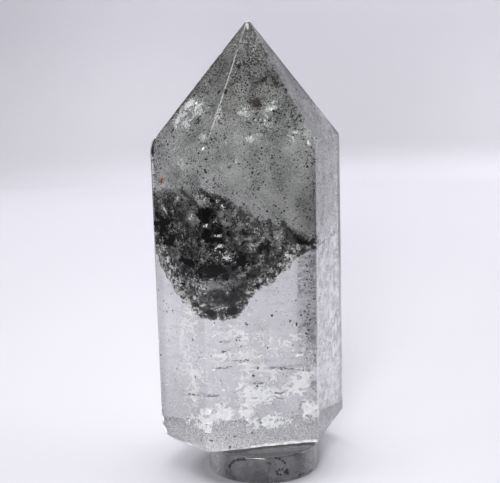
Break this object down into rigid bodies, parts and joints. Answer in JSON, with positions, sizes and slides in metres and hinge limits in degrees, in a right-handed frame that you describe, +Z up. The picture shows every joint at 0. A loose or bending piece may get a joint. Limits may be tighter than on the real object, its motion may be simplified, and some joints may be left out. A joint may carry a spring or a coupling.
{
  "type": "chlorite quartz point",
  "caption": "Polished six-sided quartz point with a sloped tip and a dark chlorite cloud inside, standing upright on a small clear round display disc.",
  "frame": {"origin": "middle of the display disc's underside, on the surface that the object stands on", "axes": "+Z up along the quartz column, the quartz's widest seen face looks along -Y, +X to the right as that face is seen"},
  "size_m": [0.037, 0.0292, 0.0808],
  "materials": {
    "quartz": "polished clear to milky quartz",
    "chlorite": "dull dark grey green mineral grains",
    "disc": "clear polished acrylic, slightly grey"
  },
  "bodies": {
    "root": {"quartz_point": "quartz", "chlorite_cloud": "chlorite", "display_disc": "disc"}
  },
  "joints": []
}
